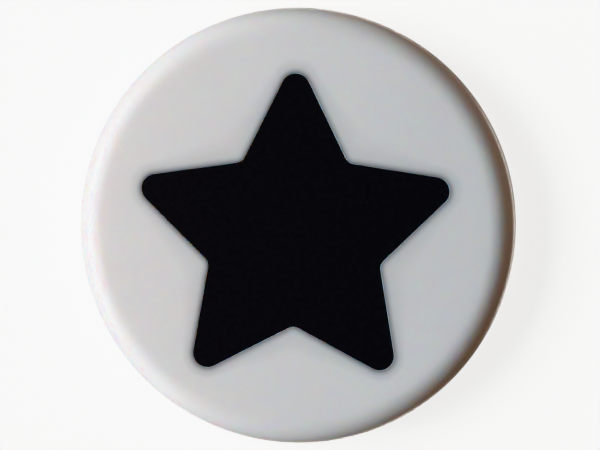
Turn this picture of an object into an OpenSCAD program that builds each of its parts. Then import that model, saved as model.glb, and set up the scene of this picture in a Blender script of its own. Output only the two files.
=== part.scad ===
// Dealer button: a solid round puck with a five-pointed star inlaid in each face.
// Millimetres, +Z up. The origin is the centre of the face that the puck rests on,
// and the top point of each star points along +Y.

/* [Puck] */
// Diameter of the puck across its rim
puck_d = 50; // [38:0.5:80]
// Thickness of the puck, face to face
puck_h = 10; // [7:0.5:20]
// Radius that rounds the rim into each face
rim_r = 2.5; // [1:0.1:3]

/* [Star] */
// Reach of the star's points, if they were sharp, as a share of the puck's radius
star_share = 0.82; // [0.6:0.005:0.83]
// Radius at the notches, as a share of the radius at the sharp points
notch_share = 0.5; // [0.42:0.01:0.6]
// Radius that rounds each point of the star
point_r = 1.65; // [0.8:0.05:2]
// Radius that rounds each notch of the star
notch_r = 1.3; // [0.4:0.1:2]
// How far each star's centre sits below the puck's, as a share of the puck's radius
drop_share = 0.04; // [0:0.01:0.05]

/* [Inlay] */
// Depth of the pocket that each star fills
pocket_depth = 1.2; // [0.6:0.1:2.5]
// How far each star's surface lies below its face, so that only the puck rubs
inlay_recess = 0.04; // [0.02:0.01:0.2]

/* [Hidden] */

$fn = 180; // facets of a full circle
arc_steps = 12; // straight steps that make each rounded corner of the star
overcut = 1; // how far each pocket's cutter reaches out past its face

puck_r = puck_d / 2;
inlay_t = pocket_depth - inlay_recess;

star_points = 5;
half_step = 180 / star_points;
star_r = puck_r * star_share;
notch_circle_r = star_r * notch_share;
star_drop = puck_r * drop_share;

// Half of the star's angle at a point, and half of the gap's angle at a notch.
point_half = atan2(
    notch_circle_r * sin(half_step),
    star_r - notch_circle_r * cos(half_step)
);
notch_half = half_step + point_half;

function polar(r, angle) = [r * cos(angle), r * sin(angle)];

// The arc that rounds a corner whose sharp tip is at distance r from the centre, along
// `angle`. It turns through 180 degrees less the corner's whole angle. `side` is 1 for a
// point, whose arc bulges outwards, and -1 for a notch, whose arc bulges inwards.
function corner_arc(r, angle, half, round_r, side) =
    let (
        centre = polar(r - side * round_r / sin(half), angle),
        facing = side > 0 ? angle : angle + 180,
        sweep = 90 - half
    )
    [
        for (i = [0:arc_steps])
        centre + polar(round_r, facing + side * sweep * (2 * i / arc_steps - 1))
    ];

// The corners' arcs in turn, anticlockwise from the top point.
star_outline = [
    for (k = [0:star_points - 1], is_notch = [0, 1])
    let (angle = 90 + half_step * (2 * k + is_notch))
    each is_notch == 0
        ? corner_arc(star_r, angle, point_half, point_r, 1)
        : corner_arc(notch_circle_r, angle, notch_half, notch_r, -1)
];

// A star-shaped block whose underside is at height z.
module star_block(z, thickness)
    translate([0, -star_drop, z])
    linear_extrude(thickness)
    polygon(star_outline);

// Half of the puck's section, from its axis out to its rounded rim.
module puck_section() {
    square([puck_r - rim_r, puck_h]);
    translate([0, rim_r]) square([puck_r, puck_h - 2 * rim_r]);
    for (z = [rim_r, puck_h - rim_r])
        translate([puck_r - rim_r, z]) circle(rim_r);
}

// The white puck, with a star-shaped pocket cut in each face.
module puck_body() {
    color("ivory")
    difference() {
        rotate_extrude() puck_section();
        star_block(puck_h - pocket_depth, pocket_depth + overcut);
        star_block(-overcut, pocket_depth + overcut);
    }
}

// The black star that faces up, standing on its pocket's floor.
module top_star_inlay() {
    color("#141216") star_block(puck_h - pocket_depth, inlay_t);
}

// The black star in the face that the puck rests on.
module bottom_star_inlay() {
    color("#141216") star_block(inlay_recess, inlay_t);
}

puck_body();
top_star_inlay();
bottom_star_inlay();
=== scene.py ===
"""A dealer button on a pale floor: a white puck with a black star set into each face.

Metres, +Z up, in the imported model's frame, where the puck rests on z = 0 and the top
point of each star points along +Y.
"""
from math import cos, radians, sin, tau

import bpy
import numpy as np
from mathutils import Matrix, Vector


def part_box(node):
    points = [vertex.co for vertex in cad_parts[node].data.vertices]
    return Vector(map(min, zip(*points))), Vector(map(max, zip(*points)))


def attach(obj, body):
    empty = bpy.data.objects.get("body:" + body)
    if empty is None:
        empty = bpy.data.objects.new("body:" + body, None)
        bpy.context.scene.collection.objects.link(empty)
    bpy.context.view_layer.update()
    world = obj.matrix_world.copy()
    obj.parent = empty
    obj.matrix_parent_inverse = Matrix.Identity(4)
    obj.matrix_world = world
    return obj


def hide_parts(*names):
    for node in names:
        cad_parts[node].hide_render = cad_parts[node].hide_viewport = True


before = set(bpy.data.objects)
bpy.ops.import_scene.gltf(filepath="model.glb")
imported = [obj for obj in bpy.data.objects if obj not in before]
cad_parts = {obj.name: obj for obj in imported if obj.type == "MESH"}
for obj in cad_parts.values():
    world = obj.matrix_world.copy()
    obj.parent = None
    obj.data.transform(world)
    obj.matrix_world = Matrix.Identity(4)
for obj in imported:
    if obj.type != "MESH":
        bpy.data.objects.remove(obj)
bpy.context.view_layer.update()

# ---------------------------------------------------------------- sizes from the frame

PUCK_LOW, PUCK_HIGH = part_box("puck_body")
PUCK_R = (PUCK_HIGH.x - PUCK_LOW.x) / 2
BOTTOM_Z, TOP_Z = PUCK_LOW.z, PUCK_HIGH.z

MM = 0.001
RAYS = 720  # rays from the star's centre; every ring of every piece has one point on each
RIM_ROUND = 2.5 * MM  # height over which the wall rounds into each face
RIM_SPREAD = 3.0 * MM  # width over which each face rounds into the wall
RIM_POWER = 2.25  # 2 would make the rounding an ellipse; more leaves the face more gently
RIM_STEPS = 28  # steps from the wall round into each face
LIP_ROUND = 0.05 * MM  # radius that rounds the edge of each pocket
PAINTED_SHADE_W = 0.85 * MM  # width of the painted shade that darkens the white beside the star
PAINTED_SHADE_END = 0.15  # share of that painted shade left at this width; it fades out beyond it
PAINTED_SHADE_POWER = 1.9  # 1 would fade the painted shade evenly; more fades it faster near the star
PAINTED_SHADE_DEPTH = 0.66  # how far the white goes towards the painted shade's dark at the star's edge
INLAY_GAP = 0.01 * MM  # gap between a star's side and its pocket's
MENISCUS_W = 0.35 * MM  # how far in from its edge the star's surface still curves
MENISCUS_DIP = 0.018 * MM  # how far the star's surface lies below its own edge


# ---------------------------------------------------------------- meshes


class Star:
    """The outline of a CAD star, sampled along evenly spaced rays from its centre."""

    def __init__(self, node):
        low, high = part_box(node)
        self.low_z, self.high_z = low.z, high.z
        corners = {
            (round(v.co.x, 7), round(v.co.y, 7))
            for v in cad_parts[node].data.vertices
        }
        corners = np.array(sorted(corners))
        self.centre = corners.mean(axis=0)
        corners = corners - self.centre
        angles = np.arctan2(corners[:, 1], corners[:, 0]) % tau
        turn = np.argsort(angles)
        self.points = self._meet(corners[turn], angles[turn])
        along = np.roll(self.points, -1, axis=0) - np.roll(self.points, 1, axis=0)
        along /= np.linalg.norm(along, axis=1, keepdims=True)
        self.outward = np.stack([along[:, 1], -along[:, 0]], axis=1)

    @staticmethod
    def _meet(corners, angles):
        """Where each ray from the centre crosses the outline through the corners."""
        rays = np.arange(RAYS) / RAYS * tau
        last = np.searchsorted(angles, rays, side="right") - 1
        start = corners[last]
        side = corners[(last + 1) % len(corners)] - start
        ray = np.stack([np.cos(rays), np.sin(rays)], axis=1)
        reach = np.cross(start, side) / np.cross(ray, side)
        return ray * reach[:, None]

    def ring(self, z, offset=0.0, share=1.0):
        """The outline at height z, moved outwards by offset, or shrunk to its centre."""
        flat = self.centre + (self.points + self.outward * offset) * share
        return np.column_stack([flat, np.full(RAYS, z)])

    def circle(self, radius, z):
        """Where the same rays cross a circle about the puck's own axis."""
        ray = self.points / np.linalg.norm(self.points, axis=1, keepdims=True)
        along = ray @ self.centre
        reach = -along + np.sqrt(along**2 + radius**2 - self.centre @ self.centre)
        return np.column_stack([self.centre + ray * reach[:, None], np.full(RAYS, z)])


def ring_mesh(name, rings, start, end):
    """A closed mesh: quads from each ring to the next, with a fan to a point at each end.

    A ring's fourth column, where it has one, goes into the attribute "fringe": how much shade
    is painted on the white there.
    """
    rings = [r if r.shape[1] == 4 else np.column_stack([r, np.zeros(RAYS)]) for r in rings]
    painted_shade = np.concatenate([r[:, 3] for r in rings] + [[0, 0]])
    rings = [r[:, :3] for r in rings]
    points = np.concatenate([np.concatenate(rings), [start, end]])
    first, last = len(points) - 2, len(points) - 1
    top = (len(rings) - 1) * RAYS
    faces = []
    for i in range(RAYS):
        j = (i + 1) % RAYS
        faces.append((first, j, i))
        faces.append((last, top + i, top + j))
        for k in range(0, top, RAYS):
            faces.append((k + i, k + j, k + RAYS + j, k + RAYS + i))
    mesh = bpy.data.meshes.new(name)
    mesh.from_pydata(points.tolist(), [], faces)
    mesh.attributes.new("painted_shade", "FLOAT", "POINT").data.foreach_set("value", painted_shade)
    mesh.shade_smooth()
    mesh.set_sharp_from_angle(angle=radians(40))
    piece = bpy.data.objects.new(name, mesh)
    bpy.context.scene.collection.objects.link(piece)
    return piece


def arc(steps, start, end):
    """Angles in even steps from start to end, in degrees, as (cosine, sine) pairs."""
    angles = [radians(start + (end - start) * k / steps) for k in range(steps + 1)]
    return [(cos(a), sin(a)) for a in angles]


def half_puck_rings(star, face_z, floor_z, inward):
    """Rings from a pocket's floor out to the rim. inward is -1 for the upper half."""
    rings = [star.ring(floor_z), star.ring((floor_z + face_z) / 2)]
    for c, s in arc(5, 180, 90)[:-1]:
        offset = LIP_ROUND * (1 + c)
        rings.append(star.ring(face_z + inward * LIP_ROUND * (1 - s), offset))
    # Painted shade: each of these rings carries how far the white there is darkened, most at
    # the star's edge.
    steps = 8
    for k in range(steps + 1):
        t = k / steps
        near = star.ring(face_z, LIP_ROUND + PAINTED_SHADE_W * t)
        shade = PAINTED_SHADE_END + (1 - PAINTED_SHADE_END) * (1 - t) ** PAINTED_SHADE_POWER
        rings.append(np.column_stack([near, np.full(RAYS, shade)]))
    flat_edge = star.circle(PUCK_R - RIM_SPREAD, face_z)
    rings += [near + (flat_edge - near) * k / 4 for k in range(1, 4)]
    for c, s in arc(RIM_STEPS, 90, 0):
        across, down = c ** (2 / RIM_POWER), 1 - s ** (2 / RIM_POWER)
        radius = PUCK_R - RIM_SPREAD * (1 - across)
        rings.append(star.circle(radius, face_z + inward * RIM_ROUND * down))
    return rings


def make_puck(top_star, bottom_star):
    """The white puck with a star-shaped pocket in each face."""
    upper = half_puck_rings(top_star, TOP_Z, top_star.low_z, -1)
    lower = half_puck_rings(bottom_star, BOTTOM_Z, bottom_star.high_z, 1)
    wall = [lower[-1] + (upper[-1] - lower[-1]) * k / 4 for k in range(1, 4)]
    rings = lower + wall + upper[::-1]
    return ring_mesh(
        "puck",
        rings,
        (*bottom_star.centre, bottom_star.high_z),
        (*top_star.centre, top_star.low_z),
    )


def make_inlay(name, star, face_up):
    """A star that fills its pocket, its open surface curving up slightly at the edge."""
    floor_z, face_z = star.low_z, star.high_z
    if not face_up:
        floor_z, face_z = face_z, floor_z
    inward = -1 if face_up else 1
    rings = [star.ring(floor_z, -INLAY_GAP, 0.5), star.ring(floor_z, -INLAY_GAP)]
    steps = 6
    for k in range(steps + 1):
        t = k / steps
        dip = MENISCUS_DIP * (1 - (1 - t) ** 2)
        rings.append(star.ring(face_z + inward * dip, -INLAY_GAP - MENISCUS_W * t))
    rim = rings[-1]
    centre = np.array([*star.centre, rim[0, 2]])
    rings += [centre + (rim - centre) * share for share in (0.8, 0.6, 0.4, 0.2)]
    floor = (*star.centre, floor_z)
    if face_up:
        return ring_mesh(name, rings, floor, tuple(centre))
    return ring_mesh(name, rings[::-1], tuple(centre), floor)


# ---------------------------------------------------------------- materials


class Nodes:
    """A short way to add and join a material's nodes."""

    def __init__(self, name):
        self.material = bpy.data.materials.new(name)
        self.material.use_nodes = True
        self.tree = self.material.node_tree
        self.shader = self.tree.nodes["Principled BSDF"]
        self.place = self.add("ShaderNodeTexCoord").outputs["Object"]

    def add(self, kind, **settings):
        node = self.tree.nodes.new(kind)
        for key, value in settings.items():
            setattr(node, key, value)
        return node

    def join(self, source, target):
        self.tree.links.new(source, target)

    def noise(self, scale, detail=3.0, roughness=0.5, place=None):
        node = self.add("ShaderNodeTexNoise")
        node.inputs["Scale"].default_value = scale
        node.inputs["Detail"].default_value = detail
        node.inputs["Roughness"].default_value = roughness
        self.join(place or self.place, node.inputs["Vector"])
        return node.outputs["Fac"]

    def remap(self, value, low, high, out_low, out_high):
        node = self.add("ShaderNodeMapRange", clamp=True)
        for socket, number in zip(node.inputs[1:5], (low, high, out_low, out_high)):
            socket.default_value = number
        self.join(value, node.inputs["Value"])
        return node.outputs["Result"]

    def maths(self, operation, first, second):
        node = self.add("ShaderNodeMath", operation=operation)
        for socket, value in zip(node.inputs, (first, second)):
            if isinstance(value, (int, float)):
                socket.default_value = value
            else:
                self.join(value, socket)
        return node.outputs["Value"]

    def blend(self, factor, first, second):
        """A colour between first and second, each three numbers or another node's colour."""
        node = self.add("ShaderNodeMix", data_type="RGBA")
        sockets = [s for s in node.inputs if s.type == "RGBA"]
        for socket, colour in zip(sockets, (first, second)):
            if isinstance(colour, tuple):
                socket.default_value = (*colour, 1)
            else:
                self.join(colour, socket)
        self.join(factor, node.inputs[0])
        return next(s for s in node.outputs if s.type == "RGBA")

    def bump(self, height, distance, strength=1.0, onto=None):
        node = self.add("ShaderNodeBump")
        node.inputs["Strength"].default_value = strength
        node.inputs["Distance"].default_value = distance
        self.join(height, node.inputs["Height"])
        if onto:
            self.join(onto, node.inputs["Normal"])
        return node.outputs["Normal"]

    def scratches(self, turn, rarity):
        """Fine straight hairlines: a noise drawn out along one direction.

        turn is that direction, in degrees from +X. The higher rarity is, the fewer they are.
        """
        hair_long, hair_wide = 12 * MM, 0.12 * MM
        lay = self.add("ShaderNodeMapping", vector_type="TEXTURE")
        lay.inputs["Rotation"].default_value = (0, 0, radians(turn))
        lay.inputs["Scale"].default_value = (hair_long, hair_wide, hair_long)
        self.join(self.place, lay.inputs["Vector"])
        lines = self.noise(1.0, 1.0, 0.4, lay.outputs["Vector"])
        return self.remap(lines, 0.5 + rarity, 0.56 + rarity, 0, 1)


def white_plastic():
    """Satin-gloss white plastic that lets light a little way in, with very faint hairlines,
    and with painted shade on the white beside each star.

    The satin starts at 0.285 because a range from 0.26 showed as hard-edged dark patches.
    """
    m = Nodes("white_plastic")
    plain = m.blend(m.noise(90, 3), (0.80, 0.795, 0.78), (0.835, 0.83, 0.82))
    # Painted shade: the white is darkened towards each star's edge, by the share stored on the
    # puck's points.
    painted_shade = m.add("ShaderNodeAttribute", attribute_name="painted_shade").outputs["Fac"]
    shade = m.maths("MULTIPLY", painted_shade, PAINTED_SHADE_DEPTH)
    painted_shade_dark = (0.02, 0.015, 0.03)
    m.join(m.blend(shade, plain, painted_shade_dark), m.shader.inputs["Base Color"])
    hairs = m.maths("ADD", m.scratches(23, 0.15), m.scratches(-58, 0.16))
    satin = m.remap(m.noise(420, 4, 0.6), 0.3, 0.7, 0.285, 0.365)
    rough = m.maths("ADD", satin, m.maths("MULTIPLY", hairs, 0.15))
    m.join(rough, m.shader.inputs["Roughness"])
    peel = m.bump(m.noise(1400, 2), 0.004 * MM)
    m.join(m.bump(hairs, -0.0015 * MM, 1.0, peel), m.shader.inputs["Normal"])
    m.shader.inputs["Subsurface Weight"].default_value = 1.0
    m.shader.inputs["Subsurface Radius"].default_value = (1.0, 0.6, 0.4)
    m.shader.inputs["Subsurface Scale"].default_value = 1.8 * MM
    return m.material


def black_inlay():
    """Satin black resin with a fine, faint grain."""
    m = Nodes("black_inlay")
    grain = m.remap(m.noise(1500, 4, 0.6), 0.3, 0.7, 0, 1)
    tone = m.blend(grain, (0.0140, 0.0152, 0.0172), (0.0203, 0.0218, 0.0238))
    m.join(tone, m.shader.inputs["Base Color"])
    rough = m.remap(m.noise(900, 3), 0.3, 0.7, 0.17, 0.25)
    m.join(rough, m.shader.inputs["Roughness"])
    m.join(m.bump(m.noise(1800, 2), 0.004 * MM), m.shader.inputs["Normal"])
    return m.material


def sweep_material():
    """Matt white paper, which glows more with distance from the puck.

    Its glow is slightly cool, to make up for the brown light of the room on it.
    """
    m = Nodes("pale_sweep")
    distance = m.add("ShaderNodeVectorMath", operation="LENGTH")
    m.join(m.place, distance.inputs[0])
    near, far = 0.08, 0.6
    glow = m.remap(distance.outputs["Value"], near, far, 0.8, 1.4)
    m.join(glow, m.shader.inputs["Emission Strength"])
    m.shader.inputs["Emission Color"].default_value = (0.955, 0.985, 1, 1)
    m.shader.inputs["Base Color"].default_value = (0.75, 0.75, 0.75, 1)
    m.shader.inputs["Roughness"].default_value = 0.9
    return m.material


# ---------------------------------------------------------------- stage


def area_light(name, place, width, height, watts, colour, shines_on):
    """A soft light that faces the puck and shines on one collection's objects only."""
    data = bpy.data.lights.new(name, "AREA")
    data.shape = "RECTANGLE"
    data.size, data.size_y = width, height
    data.energy = watts
    data.color = colour
    light = bpy.data.objects.new(name, data)
    light.location = place
    light.rotation_euler = (-Vector(place)).to_track_quat("-Z", "Y").to_euler()
    light.visible_camera = False
    light.light_linking.receiver_collection = shines_on
    bpy.context.scene.collection.objects.link(light)


def towards(azimuth, elevation, distance):
    """The place at that distance, azimuth 0 along +X and 90 along +Y, in degrees."""
    a, e = radians(azimuth), radians(elevation)
    return (distance * cos(a) * cos(e), distance * sin(a) * cos(e), distance * sin(e))


def make_lights(pieces, stage):
    """A cool window low on the puck's left, a small warm lamp nearer in, and a dim brown room.

    The paper that the puck stands on has a light of its own, from the same side. The
    bounce lights stand for what that paper throws back up at the puck's wall.
    """
    cool, warm, cream = (0.532, 0.822, 1.0), (1.0, 0.32, 0.02), (1.0, 0.9, 0.85)
    paper_tint, white = (1.0, 0.95, 0.90), (1.0, 1.0, 1.0)
    area_light("window", towards(180, 30, 0.55), 0.48, 0.22, 4.8, cool, pieces)
    area_light("lamp", towards(180, 28, 0.17), 0.19, 0.05, 0.162, warm, pieces)
    area_light("far_wall", towards(90, 30, 1.0), 0.6, 0.6, 0.85, cream, pieces)
    for azimuth in (0, 95, 265):
        place = towards(azimuth, -54, 0.4)
        area_light("bounce", place, 0.3, 0.1, 0.36, paper_tint, pieces)
    area_light("paper_light", towards(170, 50, 0.8), 0.5, 0.5, 8.0, white, stage)
    world = bpy.data.worlds.new("room")
    world.use_nodes = True
    background = world.node_tree.nodes["Background"]
    background.inputs["Color"].default_value = (0.147, 0.108, 0.085, 1)
    background.inputs["Strength"].default_value = 1.0
    bpy.context.scene.world = world


def make_sweep():
    """White paper that curves up into a wall all round. It neither lights nor shades."""
    flat_r, cove_r, wall_top, sides = 1.0, 0.5, 1.6, 96
    cove = [(flat_r + cove_r * c, cove_r * (1 + s)) for c, s in arc(12, -90, 0)]
    profile = [(flat_r / 4, 0), *cove, (flat_r + cove_r, wall_top)]
    spokes = [(cos(tau * i / sides), sin(tau * i / sides)) for i in range(sides)]
    points = [(0, 0, 0)] + [(r * c, r * s, z) for r, z in profile for c, s in spokes]
    faces = []
    for i in range(sides):
        j = (i + 1) % sides
        faces.append((0, 1 + i, 1 + j))
        for k in range(1, 1 + sides * (len(profile) - 1), sides):
            faces.append((k + i, k + sides + i, k + sides + j, k + j))
    mesh = bpy.data.meshes.new("sweep")
    mesh.from_pydata(points, [], faces)
    mesh.shade_smooth()
    mesh.materials.append(sweep_material())
    sweep = bpy.data.objects.new("sweep", mesh)
    sweep.location.z = BOTTOM_Z
    sweep.visible_diffuse = False
    sweep.visible_glossy = False
    sweep.visible_shadow = False
    bpy.context.scene.collection.objects.link(sweep)
    return sweep


def make_camera():
    """Looks almost straight down on the puck, leaning a little to its right and its top."""
    lean_right, lean_up, roll = radians(5.5), radians(2.5), radians(0.55)
    distance = 0.30
    view_width = 2 * PUCK_R * 1.376
    target = Vector((0.4 * MM, 0.1 * MM, TOP_Z - RIM_ROUND))
    back = Vector((sin(lean_right), sin(lean_up), cos(lean_right))).normalized()
    up = Vector((-sin(roll), cos(roll), 0))
    right = up.cross(back).normalized()
    up = back.cross(right)
    data = bpy.data.cameras.new("camera")
    data.lens = data.sensor_width * distance / view_width
    data.clip_start = 0.01
    camera = bpy.data.objects.new("camera", data)
    turn = Matrix((right, up, back)).transposed().to_4x4()
    camera.matrix_world = Matrix.Translation(target + back * distance) @ turn
    bpy.context.scene.collection.objects.link(camera)
    bpy.context.scene.camera = camera


# ---------------------------------------------------------------- the scene


def finish_piece(piece, node, material):
    """Gives a piece its material and its place in the frame."""
    piece.data.materials.append(material)
    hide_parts(node)
    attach(piece, "root")


def group(name, *objects):
    """A collection of objects that a light can be told to shine on."""
    collection = bpy.data.collections.new(name)
    for item in objects:
        collection.objects.link(item)
    return collection


top_star, bottom_star = Star("top_star_inlay"), Star("bottom_star_inlay")
white, black = white_plastic(), black_inlay()
puck = make_puck(top_star, bottom_star)
upper_inlay = make_inlay("top_star", top_star, True)
lower_inlay = make_inlay("bottom_star", bottom_star, False)
finish_piece(puck, "puck_body", white)
finish_piece(upper_inlay, "top_star_inlay", black)
finish_piece(lower_inlay, "bottom_star_inlay", black)

make_lights(group("pieces", puck, upper_inlay, lower_inlay), group("stage", make_sweep()))
make_camera()
bpy.context.scene.view_settings.view_transform = "Khronos PBR Neutral"
